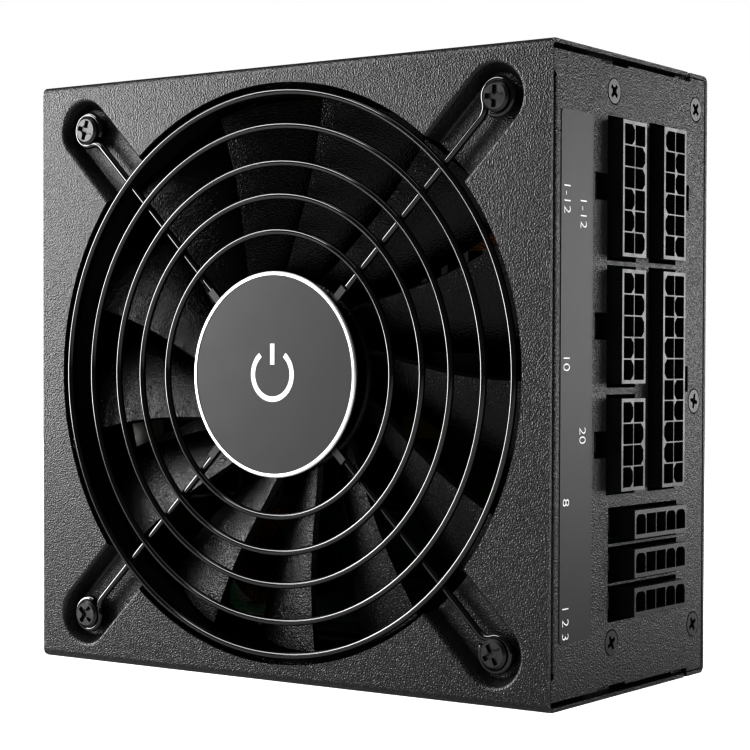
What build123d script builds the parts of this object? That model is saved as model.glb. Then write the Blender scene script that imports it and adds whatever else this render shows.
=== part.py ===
from build123d import *
from math import acos, cos, degrees, radians, sin, sqrt
import os

# Small-form-factor power supply unit with a 120 mm fan and modular output sockets.
# Millimetres. X runs from the mains side to the output sockets, Y from the fan side
# to the plain back, Z up. The origin is at the centre of the side it stands on.

# Case
CASE_X = 130.0
CASE_Y = 63.5
CASE_Z = 125.0
SHEET = 0.8
BEND = 1.5
PANEL_INSET = 0.1
PANEL_EDGE_GAP = 1.05
FLANGE_GAP = 0.25
COVER_DEPTH = 54.35
SEAM = 1.4
LIP_WIDTH = 4.0
LIP_GAP = 0.1
OVER = 1.0
SNAP_GAP = 0.15
FOLD_SETBACK = 1.85
FOLD_WIDTH = 3.0
FOLD_DEPTH = 2.0
FOLD_RADIUS = 0.7
CORNER_SETBACK = 1.15
RELIEF_Z = (6.9, 118.1)
RELIEF_R = 0.95
SCREW_RELIEF_HALF = 5.5
SCREW_RELIEF = 0.5

RIGHT = CASE_X / 2
LEFT = -RIGHT
FRONT = -CASE_Y / 2
BACK = CASE_Y / 2
PANEL_X = RIGHT - PANEL_INSET
PANEL_LOW = SHEET + PANEL_EDGE_GAP
PANEL_HIGH = CASE_Z - PANEL_LOW
FOLD_Y = FRONT + FOLD_SETBACK
COVER_END = FRONT + COVER_DEPTH

# Fan opening, its corner recesses and the finger grille
FAN_Z = CASE_Z / 2
OPENING_R = 58.9
FAN_HOLE_SPACING = 105.0
CORNER_R = FAN_HOLE_SPACING / 2 * sqrt(2)
CORNER_ANGLES = (45, 135, 225, 315)
RECESS_HALF_WIDTH = 6.4
RECESS_FLOOR_HALF_WIDTH = 4.8
RECESS_DEPTH = 3.5
RECESS_START = 52.0
RECESS_FLARE = 4.0
SHOULDER_R = 0.9
TOE_R = 0.72
PAN_LIP = 0.1
RECESS_FLOOR_Y = FRONT + RECESS_DEPTH
SCREW_HOLE_R = 1.9

WIRE_R = 0.7
RING_RADII = (57.0, 50.2, 42.75, 36.1, 28.9)
WELD_OVERLAP = 0.25
SPOKE_Y = FRONT + 1.5
RING_Y = SPOKE_Y - 2 * WIRE_R + WELD_OVERLAP
SPOKE_START = 21.5
EYE_R = 3.3
EYE_SWEEP = 250
EYE_LEAD_R = 3.0

BADGE_R = 20.9
BADGE_RIM = 0.8
BADGE_THICK = 0.9
BADGE_STEP = 0.4
RING_RISE = 0.1
BRACKET_PLATE_R = 18.4
CLIP_RANGE = (10.0, 24.4)
CLIP_WIDTH = 1.6
CLIP_THICK = 0.5
RING_CHAMFER = 0.25

GRILLE_SCREW_HEAD_R = 2.95
GRILLE_SCREW_HEAD = 0.8
GRILLE_SCREW_CHAMFER = 0.5
GRILLE_SCREW_TURNS = (3, 17, 40, 62)
GRILLE_SCREW_R = 1.75
GRILLE_SCREW_LENGTH = 10.0
SHANK_OVERLAP = 0.5
# size across the arms, depth
GRILLE_SCREW_CROSS = (4.2, 0.65)
PANEL_SCREW_CROSS = (3.0, 0.9)
CROSS_ARM = 0.24
CROSS_CORE = (0.08, 0.26)

# Fan, 120 mm square and 15 mm thick
FAN_SIZE = 120.0
FAN_THICK = 15.0
FAN_FRONT = RECESS_FLOOR_Y + SHEET
FAN_BACK = FAN_FRONT + FAN_THICK
FAN_BORE_R = 57.6
FAN_MOUTH_R = 59.0
FAN_MOUTH_DEPTH = 3.5
FAN_CORNER_R = 7.0
FLANGE = 3.0
FAN_TUBE_R = 59.4
BLADE_COUNT = 13
BLADE_TIP_R = 56.7
BLADE_THICK = 1.2
HUB_R = 20.0
HUB_FRONT = FAN_FRONT + 1.0
HUB_BACK = FAN_BACK - 3.4
HUB_WALL = 1.4
BLADE_FRONT = FAN_FRONT + 1.6
BLADE_BACK = FAN_BACK - 5.0
BLADE_ROOT_CHORD = 9.0
BLADE_TIP_CHORD = 22.0
BLADE_ROOT_SWEEP = 13.0
BLADE_BOW = 0.17
BLADE_START_ANGLE = -1.0
BLADE_STATIONS = (HUB_R - 1.0, 28.0, 38.0, 48.0, BLADE_TIP_R + 1.5)
MOTOR_BASE_R = 20.5
MOTOR_BASE = 2.0
STRUT_WIDTH = 5.0
STRUT_RISE = 0.6
STRUT_COUNT = 4
STRUT_TURN = 20
SHAFT_R = 1.5
SHAFT_CLEARANCE = 0.03
SHAFT_SOCKET = 0.6
SHAFT_END_GAP = 1.6
HUB_ROUND = 1.2
BLADE_ROOT = 0.7
BEARING_R = 3.2
BEARING_TUBE_R = 4.4
BEARING_FRONT = HUB_FRONT + HUB_WALL + 1.2
BEARING_BACK = FAN_BACK - 1.0
STATOR_R = 15.5
STATOR_CORE_R = 7.0
STATOR_Y = (HUB_FRONT + HUB_WALL + 2.0, FAN_BACK - MOTOR_BASE - 0.6)
POLE_COUNT = 4
POLE_HALF_WIDTH = 3.4
POLE_Z = (5.5, 12.0)
SHOE_HALF_WIDTH = 7.5
SHOE_Z = (10.5, 17.0)
MAGNET_THICK = 1.6
MAGNET_END_GAP = 0.4

# Output sockets: 4.2 mm pitch headers behind the connector panel
PITCH = 4.2
CELL = 3.9
HEADER_WIDTH = 9.6
HEADER_END = 5.4
HEADER_PROUD = 2.7
HEADER_FACE = PANEL_X + HEADER_PROUD
BOARD_FACE = 52.0
BOARD_THICK = 1.6
HEADER_BACK_WALL = 1.6
CELL_CHAMFER = 1.0
PIN = 1.0
PIN_TIP = PANEL_X - 2.5
PIN_TAIL = 1.5
PIN_DRILL_R = 0.75
CONNECTOR_BOARD_Y = (-12.1, 23.9)
CONNECTOR_BOARD_Z = (8.0, 118.0)
CUTOUT_GAPS = (1.25, 0.65)
CUTOUT_END_GAP = 0.75
LATCH_NOTCH = 5.2
LATCH_WIDTH = 3.4
LATCH_HEIGHT = 2.6
LATCH_START = PANEL_X - 7.0
LATCH_TOP = 1.0
LATCH_RUN = 4.0
ROW_PATTERN = "ABBAABBAAB"
# name, rows, centre Y, centre Z, side of the latch, latch centre Z, far edge of the notch
HEADERS = (
    ("socket_12_pin_left", 6, -4.35, 98.85, -1, 98.95, -15.1),
    ("socket_10_pin", 5, -4.35, 72.15, -1, 72.15, -15.1),
    ("socket_8_pin", 4, -4.35, 49.2, -1, 49.3, -15.1),
    ("socket_12_pin_right", 6, 12.5, 99.05, 1, 99.15, 23.75),
    ("socket_20_pin", 10, 12.5, 61.8, 1, 61.8, 23.75),
)
DRIVE_Z = (33.45, 25.8, 18.2)
DRIVE_Y = 7.4
DRIVE_CELLS = 5
DRIVE_END = 5.2
DRIVE_WIDTH = PITCH * (DRIVE_CELLS - 1) + DRIVE_END
DRIVE_HEIGHT = 5.6
DRIVE_CUTOUT_Y = (-9.45, 19.0)
DRIVE_CUTOUT_HEIGHT = 7.1
DRIVE_ROUND_CELLS = (0, 3, 4)
CELL_ROUND = 1.2

# Screws through the connector and mains panels
COUNTERSUNK_HEAD_R = 2.4
COUNTERSUNK_SHANK_R = 1.5
COUNTERSUNK_LENGTH = 5.0
COVER_TAB_SCREWS = ((-7.85, 117.65), (-7.85, 10.6))
BRACKET_SCREWS = ((26.6, 117.7), (26.6, 57.2), (26.6, 10.7))
MAINS_TAB_SCREWS = ((-7.85, 117.65), (-7.85, 7.35))
COUNTERSINK_GAP = 0.28
PANEL_SCREW_TURN = 20
EAR_HALF_WIDTH = 5.0
EAR_REACH = 3.4
EAR_BACKSET = 2.5
THREAD_CLEARANCE = 0.03
BRACKET_Y = (24.2, 29.2)
BRACKET_Z = (6.0, 121.5)
BRACKET_WEB = 0.7

# Port label on the connector panel
LABEL_Y = (-27.95, -16.1)
LABEL_Z = (12.4, 112.4)
LABEL_THICK = 0.12
LABEL_CORNER = 1.0

# Mains panel: mounting holes, inlet, switch and vent
MOUNT_SPACING_Y = 51.5
MOUNT_SPACING_Z = 113.0
MOUNT_HOLE_R = 1.75
INLET_Y = 2.0
INLET_Z = 96.0
INLET_BODY = (27.0, 19.8)
INLET_FLANGE = (30.6, 23.6)
INLET_FLANGE_THICK = 2.0
INLET_FLANGE_CORNER = 2.0
INLET_CAVITY = (24.4, 16.8)
INLET_DEPTH = 17.0
INLET_BODY_DEPTH = 20.0
INLET_CORNER = 5.0
INLET_PIN = (2.0, 4.0)
INLET_PIN_SPACING = 7.0
INLET_PIN_OFFSET = 2.0
INLET_PIN_LENGTH = 14.0
INLET_TAIL = 6.0
SWITCH_Y = 2.0
SWITCH_Z = 66.0
SWITCH_BODY = (21.0, 14.6)
SWITCH_BEZEL = (24.4, 17.4)
SWITCH_BEZEL_THICK = 1.5
SWITCH_BEZEL_CHAMFER = 0.6
SWITCH_BODY_DEPTH = 15.0
SWITCH_TAB = 7.0
SWITCH_TAB_SPACING = 10.0
SWITCH_TAB_THICK = 0.8
SWITCH_TAB_WIDTH = 4.8
SWITCH_PIVOT_X = -PANEL_X + 0.4
SWITCH_WELL_BACK = SWITCH_PIVOT_X + 6.0
ROCKER_HALF_LENGTH = 8.3
ROCKER_HALF_WIDTH = 5.2
ROCKER_GAP = 0.45
ROCKER_TILT = 10.0
ROCKER_AXLE_R = 1.2
ROCKER_AXLE_END = 1.0
ROCKER_SOCKET_END = 1.2
ROCKER_ROUND = 0.5
# distance in front of the pivot (negative) or behind it, distance along the rocker
ROCKER_PROFILE = (
    (-2.2, -ROCKER_HALF_LENGTH),
    (-0.9, 0),
    (-2.2, ROCKER_HALF_LENGTH),
    (0.6, ROCKER_HALF_LENGTH + 0.2),
    (3.4, ROCKER_HALF_LENGTH - 2.4),
    (3.4, 2.4 - ROCKER_HALF_LENGTH),
    (0.6, -ROCKER_HALF_LENGTH - 0.2),
)
ROCKER_SWING = sqrt(ROCKER_HALF_LENGTH**2 + 3.6**2) + ROCKER_GAP
AXLE_CLEARANCE = 0.05
VENT_PITCH = 5.4
VENT_HEX = 4.5
VENT_Z = (16.0, 53.0)
VENT_Y = (-26.5, 26.5)

# Inside
STANDOFF = 3.3
MAIN_BOARD_BACK = BACK - SHEET - STANDOFF
MAIN_BOARD_FRONT = MAIN_BOARD_BACK - BOARD_THICK
MAIN_BOARD_X = (-60.0, 48.0)
MAIN_BOARD_Z = (4.5, 120.5)
STANDOFF_POINTS = ((-54.0, 10.0), (-54.0, 115.0), (43.0, 10.0), (43.0, 115.0))
STANDOFF_R = 2.75
STANDOFF_WALL = 0.6
BOARD_HOLE_GAP = 0.1
BOARD_SCREW_R = 1.5
BOARD_SCREW_HEAD_R = 2.8
BOARD_SCREW_HEAD = 1.6
BOARD_SCREW_LENGTH = 3.8
FILM_X = (-61.0, 49.5)
FILM_Y = (BACK - SHEET - 0.7, BACK - SHEET - 0.3)
FILM_Z = (3.5, 121.5)
FILM_HOLE_GAP = 0.4
CAN_ROUND = 0.12
# x, z, outer radius, inner radius, height
EMI_CHOKE = (-37.3, 20.5, 10.0, 5.5, 11.0)
PFC_CHOKE = (-11.0, 100.0, 13.5, 7.0, 15.0)
OUTPUT_CHOKE = (22.0, 98.0, 9.5, 5.0, 10.0)
# x, z, radius, height
BULK_CAPACITOR = (-17.0, 64.0, 15.0, 34.0)
OUTPUT_CAPACITOR_X = 42.0
OUTPUT_CAPACITOR_Z = (22.0, 32.0, 42.0, 84.0, 94.0, 104.0)
OUTPUT_CAPACITOR_R = 4.0
OUTPUT_CAPACITOR_HEIGHT = 20.0
CHOKE_STAND = 1.8
WINDING_ANGLE = 300
EMI_WIRE = 1.5
PFC_WIRE = 1.7
OUTPUT_WIRE = 1.4
# x, z, length, height
PRIMARY_HEATSINK = (-31.0, 33.0, 36.0, 32.0)
SECONDARY_HEATSINK = (3.0, 76.0, 32.0, 32.0)
HEATSINK_PLATE = 3.0
FIN_COUNT = 7
FIN_THICK = 1.5
FIN_REACH = 12.0
FIN_SHARE = 0.55
TRANSFORMER_X = (2.0, 34.0)
TRANSFORMER_DEPTH = (31.0, 3.0)
TRANSFORMER_Z = (54.0, 68.0)
TRANSFORMER_WINDOWS = ((8.0, 13.0), (23.0, 28.0))
TRANSFORMER_YOKE = 6.0
COIL_X = (8.3, 27.7)
COIL_DEPTH = (24.6, 9.4)
COIL_Z = (49.0, 73.0)
COIL_CORNER = 3.0
COIL_BORE_X = (12.7, 23.3)
COIL_BORE_Z = (53.7, 68.3)
CONTROL_BOARD_X = (4.0, 34.0)
CONTROL_BOARD_HEIGHT = 22.0
CONTROL_BOARD_Z = (14.0, 15.6)
X_CAPACITOR_X = (-59.5, -49.8)
X_CAPACITOR_Z = (13.5, 34.2)
X_CAPACITOR_WIDTH = 20.0
X_CAPACITOR_HEIGHT = 35.5
X_CAPACITOR_CORNER = 1.0

# Leads: wire radius and bend radius
FAN_LEAD = (0.9, 4.0)
FAN_LEAD_START_Z = 42.0
MAINS_LEAD = (1.1, 1.8)


def block(x, y, z):
    """Box between the low and high values given for each axis."""
    size = (x[1] - x[0], y[1] - y[0], z[1] - z[0])
    return Pos((x[0] + x[1]) / 2, (y[0] + y[1]) / 2, (z[0] + z[1]) / 2) * Box(*size)


def rod_x(radius, x, y, z):
    """Cylinder along X between the two values of x."""
    return Pos((x[0] + x[1]) / 2, y, z) * Rot(0, 90, 0) * Cylinder(radius, x[1] - x[0])


def rod_y(radius, y, x=0.0, z=FAN_Z):
    """Cylinder along Y between the two values of y."""
    return Pos(x, (y[0] + y[1]) / 2, z) * Rot(90, 0, 0) * Cylinder(radius, y[1] - y[0])


def cone_y(front_radius, back_radius, y):
    """Cone along Y on the fan's axis, with its radii at the low and high ends."""
    body = Cone(back_radius, front_radius, y[1] - y[0])
    return Pos(0, (y[0] + y[1]) / 2, FAN_Z) * Rot(90, 0, 0) * body


def around_fan(shape, angle):
    """Turns a shape drawn along +Z from the origin to an angle about the fan's axis."""
    return Pos(0, 0, FAN_Z) * Rot(0, 90 - angle, 0) * shape


def corner_points():
    """Centres of the four fan screws as (x, z)."""
    return [
        (CORNER_R * cos(radians(a)), FAN_Z + CORNER_R * sin(radians(a)))
        for a in CORNER_ANGLES
    ]


# ---------------------------------------------------------------- case

def recess_solid(points, rounded, radii):
    """Stadium-ended trough along +Z whose half section is a polygon (half width, y)."""
    outline = make_face(Polyline(*points, close=True))
    for (px, py), radius in zip(rounded, radii):
        corner = outline.vertices().sort_by_distance((px, py, 0))[0]
        outline = fillet(corner, radius)
    mirrored = outline + mirror(outline, Plane.YZ)
    straight = Pos(0, 0, RECESS_START) * extrude(mirrored, CORNER_R - RECESS_START)
    end = Pos(0, 0, CORNER_R) * revolve(outline, Axis.Y, 360)
    return straight + end


def recess_cavity():
    """Space pressed out of the fan side, with soft shoulders."""
    above = FRONT - OVER
    wide = RECESS_HALF_WIDTH + RECESS_FLARE
    shoulder = (RECESS_HALF_WIDTH, FRONT)
    toe = (RECESS_FLOOR_HALF_WIDTH, RECESS_FLOOR_Y)
    points = [(0, above), (wide, above), (wide, FRONT), shoulder, toe, (0, RECESS_FLOOR_Y)]
    return recess_solid(points, (shoulder, toe), (SHOULDER_R, TOE_R))


def recess_pan():
    """Outside of the pressed recess, one sheet thickness behind its cavity."""
    back = RECESS_FLOOR_Y + SHEET
    toe = (RECESS_FLOOR_HALF_WIDTH + SHEET, back)
    lip = FRONT + PAN_LIP
    points = [(0, lip), (RECESS_HALF_WIDTH + SHEET, lip), toe, (0, back)]
    return recess_solid(points, (toe,), (SHOULDER_R + SHEET,))


def cover_ear(x_side, screw):
    """Ear bent down from a cover side, behind the end panel, with a threaded hole."""
    y, z = screw
    near = x_side * (PANEL_X - SHEET - EAR_BACKSET)
    far = near - x_side * SHEET
    x = (min(near, far), max(near, far))
    if z > FAN_Z:
        z_range = (z - EAR_REACH, CASE_Z - SHEET / 2)
    else:
        z_range = (SHEET / 2, z + EAR_REACH)
    ear = block(x, (y - EAR_HALF_WIDTH, y + EAR_HALF_WIDTH), z_range)
    hole = rod_x(COUNTERSUNK_SHANK_R + THREAD_CLEARANCE, (x[0] - OVER, x[1] + OVER), y, z)
    return ear - hole


def fan_cover():
    """Channel-shaped cover: the fan side and the two long sides, with the fan opening."""
    outer = block((LEFT, RIGHT), (FRONT, COVER_END), (0, CASE_Z))
    outer = fillet(outer.edges().filter_by(Axis.X).group_by(Axis.Y)[0], BEND)
    inner = block(
        (LEFT - 1, RIGHT + 1), (FRONT + SHEET, COVER_END + 1), (SHEET, CASE_Z - SHEET)
    )
    inner = fillet(inner.edges().filter_by(Axis.X).group_by(Axis.Y)[0], BEND - SHEET)
    cover = outer - inner
    for angle in CORNER_ANGLES:
        cover += around_fan(recess_pan(), angle)
    for angle in CORNER_ANGLES:
        cover -= around_fan(recess_cavity(), angle)
    cover -= rod_y(OPENING_R, (FRONT - 1, FRONT + 2 * RECESS_DEPTH))
    for x, z in corner_points():
        cover -= rod_y(SCREW_HOLE_R, (FRONT, FRONT + 2 * RECESS_DEPTH), x, z)
    for screw in COVER_TAB_SCREWS:
        cover += cover_ear(1, screw)
    for screw in MAINS_TAB_SCREWS:
        cover += cover_ear(-1, screw)
    return cover


def header_height(rows):
    return PITCH * (rows - 1) + HEADER_END


def latch_notch_box(header, x):
    """Space beside a header where the plug's latch passes the panel."""
    _, _, y, _, side, latch_z, edge = header
    start = y + side * HEADER_WIDTH / 2
    return block(
        x,
        (min(start, edge), max(start, edge)),
        (latch_z - LATCH_NOTCH / 2, latch_z + LATCH_NOTCH / 2),
    )


def connector_cutouts():
    """Openings of the connector panel round the headers and their latches."""
    x = (PANEL_X - 2 * SHEET, PANEL_X + 1)
    low = HEADER_WIDTH / 2 + CUTOUT_GAPS[0]
    high = HEADER_WIDTH / 2 + CUTOUT_GAPS[1]
    cuts = []
    for header in HEADERS:
        _, rows, y, z, _, _, _ = header
        half_height = header_height(rows) / 2 + CUTOUT_END_GAP
        cuts.append(block(x, (y - low, y + high), (z - half_height, z + half_height)))
        cuts.append(latch_notch_box(header, x))
    for z in DRIVE_Z:
        half_height = DRIVE_CUTOUT_HEIGHT / 2
        cuts.append(block(x, DRIVE_CUTOUT_Y, (z - half_height, z + half_height)))
    return cuts


def countersink(side, y, z, shank_gap, head_gap):
    """Solid of a countersunk hole or screw head, on the outer face of an end panel."""
    head = Cone(COUNTERSUNK_SHANK_R + shank_gap, COUNTERSUNK_HEAD_R + head_gap, SHEET)
    turn = Rot(0, 90 * side, 0)
    return Pos(side * (PANEL_X - SHEET / 2), y, z) * turn * head


def mount_points():
    """Centres of the four threaded mounting holes as (y, z)."""
    return [
        (sy * MOUNT_SPACING_Y / 2, FAN_Z + sz * MOUNT_SPACING_Z / 2)
        for sy in (-1, 1)
        for sz in (-1, 1)
    ]


def vent_cutouts():
    """Honeycomb vent of the mains panel, as prisms through it."""
    radius = VENT_HEX / sqrt(3)
    row_step = VENT_PITCH * sqrt(3) / 2
    rows = int((VENT_Z[1] - VENT_Z[0]) / row_step) + 1
    columns = int((VENT_Y[1] - VENT_Y[0]) / VENT_PITCH)
    holes = []
    for row in range(rows):
        shift = VENT_PITCH / 2 * (row % 2)
        z = VENT_Z[0] + row * row_step
        for column in range(columns):
            y = VENT_Y[0] + VENT_PITCH / 2 + column * VENT_PITCH + shift
            holes.append(Pos(y, z) * RegularPolygon(radius, 6, rotation=30))
    sheet = Plane.YZ.offset(-PANEL_X - 1) * Sketch(children=holes)
    return extrude(sheet, 3)


def end_flange(side):
    """Fan-side fold of an end panel, behind the cover's face."""
    outer = Pos(-FOLD_WIDTH / 2, FOLD_DEPTH / 2) * Rectangle(FOLD_WIDTH, FOLD_DEPTH)
    corner = outer.vertices().group_by(Axis.Y)[0].sort_by(Axis.X)[-1]
    outer = fillet(corner, FOLD_RADIUS)
    hollow = Pos(-FOLD_WIDTH / 2 - SHEET, FOLD_DEPTH / 2 + SHEET) * Rectangle(FOLD_WIDTH, FOLD_DEPTH)
    profile = Pos(PANEL_X, FOLD_Y) * (outer - hollow)
    if side < 0:
        profile = mirror(profile, Plane.YZ)
    return Pos(0, 0, RELIEF_Z[0]) * extrude(profile, RELIEF_Z[1] - RELIEF_Z[0], dir=(0, 0, 1))


def fold_range(side, depth):
    """Range of x across an end panel's fold."""
    outer = side * (PANEL_X + OVER)
    inner = side * (PANEL_X - depth)
    return (min(outer, inner), max(outer, inner))


def seam_lips(start):
    """Joggled lips of the base that run under the cover's long edges."""
    lips = Part()
    x = (-PANEL_X + BEND, PANEL_X - BEND)
    depth = SHEET + LIP_GAP
    for edge, inward in ((CASE_Z, -1), (0, 1)):
        near = edge + inward * depth
        far = near + inward * SHEET
        lips += block(x, (start - LIP_WIDTH, start + SHEET), (min(near, far), max(near, far)))
        near = edge + inward * SHEET / 2
        lips += block(x, (start, start + SHEET), (min(near, far), max(near, far)))
    return lips


def end_channel():
    """Back and both end panels, bent from one sheet, with stepped edges on the panels."""
    start = FRONT + CORNER_SETBACK
    flange_start = COVER_END + SEAM
    tall = (SHEET + FLANGE_GAP, CASE_Z - SHEET - FLANGE_GAP)
    outer = block((-PANEL_X, PANEL_X), (start, BACK), tall)
    outer = fillet(outer.edges().filter_by(Axis.Z).group_by(Axis.Y)[-1], BEND)
    inner = block(
        (-PANEL_X + SHEET, PANEL_X - SHEET),
        (start - OVER, BACK - SHEET),
        (tall[0] - OVER, tall[1] + OVER),
    )
    inner = fillet(inner.edges().filter_by(Axis.Z).group_by(Axis.Y)[-1], BEND - SHEET)
    channel = outer - inner
    for z in ((0, PANEL_LOW), (PANEL_HIGH, CASE_Z)):
        channel -= block((LEFT, RIGHT), (start - OVER, flange_start), z)
    for y, z in COVER_TAB_SCREWS:
        edge = PANEL_HIGH if z > FAN_Z else PANEL_LOW
        z_range = (edge - SCREW_RELIEF, edge + SCREW_RELIEF)
        channel -= block((0, RIGHT), (y - SCREW_RELIEF_HALF, y + SCREW_RELIEF_HALF), z_range)
    return channel


def base_shell():
    """Channel-shaped base: the back, the connector panel and the mains panel."""
    flange_start = COVER_END + SEAM
    cap = block((-PANEL_X, PANEL_X), (flange_start, BACK), (0, CASE_Z))
    cap = fillet(cap.edges().filter_by(Axis.X).group_by(Axis.Y)[-1], BEND)
    hollow = block(
        (-PANEL_X - OVER, PANEL_X + OVER),
        (flange_start - OVER, BACK - SHEET),
        (SHEET, CASE_Z - SHEET),
    )
    hollow = fillet(hollow.edges().filter_by(Axis.X).group_by(Axis.Y)[-1], BEND - SHEET)
    shell = end_channel() + (cap - hollow) + seam_lips(flange_start)
    for side in (-1, 1):
        shell -= block(fold_range(side, SHEET), (FRONT, FOLD_Y + FOLD_DEPTH), RELIEF_Z)
        shell += end_flange(side)
        for z in RELIEF_Z:
            shell -= rod_x(RELIEF_R, fold_range(side, FOLD_WIDTH + OVER), FRONT + CORNER_SETBACK, z)
    for cut in connector_cutouts():
        shell -= cut
    for y, z in COVER_TAB_SCREWS + BRACKET_SCREWS:
        shell -= countersink(1, y, z, THREAD_CLEARANCE, COUNTERSINK_GAP)
    for y, z in MAINS_TAB_SCREWS:
        shell -= countersink(-1, y, z, THREAD_CLEARANCE, COUNTERSINK_GAP)
    through = (-PANEL_X - OVER, -PANEL_X + 2 * SHEET)
    for y, z in mount_points():
        shell -= rod_x(MOUNT_HOLE_R, through, y, z)
    for (length, width), y, z in (
        ((INLET_BODY[0], INLET_BODY[1]), INLET_Y, INLET_Z),
        ((SWITCH_BODY[1], SWITCH_BODY[0]), SWITCH_Y, SWITCH_Z),
    ):
        shell -= block(
            through,
            (y - width / 2 - SNAP_GAP, y + width / 2 + SNAP_GAP),
            (z - length / 2 - SNAP_GAP, z + length / 2 + SNAP_GAP),
        )
    shell -= vent_cutouts()
    return shell


def cross_recess(size, depth):
    """Phillips recess pointing down from the origin along -Z."""
    arm = Box(size, size * CROSS_ARM, depth)
    other = Box(size * CROSS_ARM, size, depth)
    middle = Cone(size * CROSS_CORE[0], size * CROSS_CORE[1], depth)
    return Pos(0, 0, -depth / 2) * (arm + other + middle)


def grille_screws():
    """Four pan-head screws through the grille's eyes into the fan's corners."""
    under = SPOKE_Y - WIRE_R
    head = Cylinder(GRILLE_SCREW_HEAD_R, GRILLE_SCREW_HEAD)
    head = chamfer(head.edges().group_by(Axis.Z)[-1], GRILLE_SCREW_CHAMFER)
    head -= Pos(0, 0, GRILLE_SCREW_HEAD / 2) * cross_recess(*GRILLE_SCREW_CROSS)
    head = Pos(0, under - GRILLE_SCREW_HEAD / 2, 0) * Rot(90, 0, 0) * head
    shank = rod_y(GRILLE_SCREW_R, (under, under + GRILLE_SCREW_LENGTH), 0, 0)
    screw = head + shank
    return [
        Pos(x, 0, z) * Rot(0, turn, 0) * screw
        for (x, z), turn in zip(corner_points(), GRILLE_SCREW_TURNS)
    ]


def countersunk_screws(side, points):
    """Countersunk screws flush with an end panel."""
    screws = []
    for y, z in points:
        head = countersink(side, y, z, 0, 0)
        ends = sorted((side * (PANEL_X - SHEET / 2), side * (PANEL_X - COUNTERSUNK_LENGTH)))
        screw = head + rod_x(COUNTERSUNK_SHANK_R, ends, y, z)
        turn = Rot(0, 90 * side, 0) * Rot(0, 0, PANEL_SCREW_TURN + z)
        slot = Pos(side * PANEL_X, y, z) * turn * cross_recess(*PANEL_SCREW_CROSS)
        screws.append(screw - slot)
    return screws


# ---------------------------------------------------------------- grille and badge

def spoke():
    """One straight wire that ends in an open eye round its screw, drawn along +Z."""
    shift_angle = degrees(acos(1 - EYE_R / (2 * EYE_LEAD_R)))
    lead = 2 * EYE_LEAD_R * sin(radians(shift_angle))
    line = Line((0, SPOKE_START), (0, CORNER_R - lead))
    out = JernArc(line @ 1, line % 1, EYE_LEAD_R, shift_angle)
    back = JernArc(out @ 1, out % 1, EYE_LEAD_R, -shift_angle)
    eye = JernArc(back @ 1, back % 1, EYE_R, -EYE_SWEEP)
    path = Wire([line, out, back, eye])
    section = Plane(origin=path @ 0, z_dir=path % 0) * Circle(WIRE_R)
    return Pos(0, SPOKE_Y, 0) * Rot(90, 0, 0) * sweep(section, path)


def fan_grille():
    """Five wire rings welded on four spokes."""
    grille = around_fan(spoke(), CORNER_ANGLES[0])
    for angle in CORNER_ANGLES[1:]:
        grille += around_fan(spoke(), angle)
    for radius in RING_RADII:
        grille += Pos(0, RING_Y, FAN_Z) * Rot(90, 0, 0) * Torus(radius, WIRE_R)
    return grille


def badge_bracket():
    """Plate behind the badge with a clip on each spoke's end."""
    back = SPOKE_Y - WIRE_R
    plate = rod_y(BRACKET_PLATE_R, (back - CLIP_THICK, back))
    clip = block((-CLIP_WIDTH / 2, CLIP_WIDTH / 2), (back - CLIP_THICK, back), CLIP_RANGE)
    for angle in CORNER_ANGLES:
        plate += around_fan(clip, angle)
    return plate


def grille_badge():
    """Round badge with a rebated edge for its trim ring."""
    back = SPOKE_Y - WIRE_R - CLIP_THICK
    front = back - BADGE_THICK
    badge = rod_y(BADGE_R - BADGE_RIM, (front, back))
    return badge + rod_y(BADGE_R, (back - BADGE_STEP, back))


def badge_ring():
    """Bright trim ring round the badge."""
    back = SPOKE_Y - WIRE_R - CLIP_THICK - BADGE_STEP
    front = back - (BADGE_THICK - BADGE_STEP) - RING_RISE
    ring = rod_y(BADGE_R, (front, back)) - rod_y(BADGE_R - BADGE_RIM, (front - 1, back + 1))
    rim = ring.edges().group_by(Axis.Y)[0].sort_by(lambda e: e.length)[-1]
    return chamfer(rim, RING_CHAMFER)


# ---------------------------------------------------------------- fan

def fan_frame():
    """Square fan frame with a flared bore, corner flanges, struts and motor base."""
    body = extrude(Plane.XZ * RectangleRounded(FAN_SIZE, FAN_SIZE, FAN_CORNER_R), -FAN_THICK)
    frame = Pos(0, FAN_FRONT, FAN_Z) * body
    between = (FAN_FRONT + FLANGE, FAN_BACK - FLANGE)
    waist = block((-FAN_SIZE, FAN_SIZE), between, (FAN_Z - FAN_SIZE, FAN_Z + FAN_SIZE))
    waist -= rod_y(FAN_TUBE_R, (FAN_FRONT, FAN_BACK))
    frame -= waist
    frame -= rod_y(FAN_BORE_R, (FAN_FRONT - 1, FAN_BACK + 1))
    frame -= cone_y(FAN_MOUTH_R, FAN_BORE_R, (FAN_FRONT, FAN_FRONT + FAN_MOUTH_DEPTH))
    base_front = FAN_BACK - MOTOR_BASE
    for index in range(STRUT_COUNT):
        strut = block(
            (-STRUT_WIDTH / 2, STRUT_WIDTH / 2),
            (base_front - STRUT_RISE, FAN_BACK),
            (MOTOR_BASE_R - OVER, FAN_BORE_R + OVER),
        )
        frame += around_fan(strut, 360 / STRUT_COUNT * index + STRUT_TURN)
    frame += rod_y(MOTOR_BASE_R, (base_front, FAN_BACK))
    frame += rod_y(BEARING_TUBE_R, (BEARING_FRONT, FAN_BACK))
    frame -= rod_y(BEARING_R, (FAN_FRONT, BEARING_BACK))
    for x, z in corner_points():
        frame -= rod_y(GRILLE_SCREW_R + THREAD_CLEARANCE, (FAN_FRONT - 1, FAN_BACK + 1), x, z)
    return frame


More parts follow.
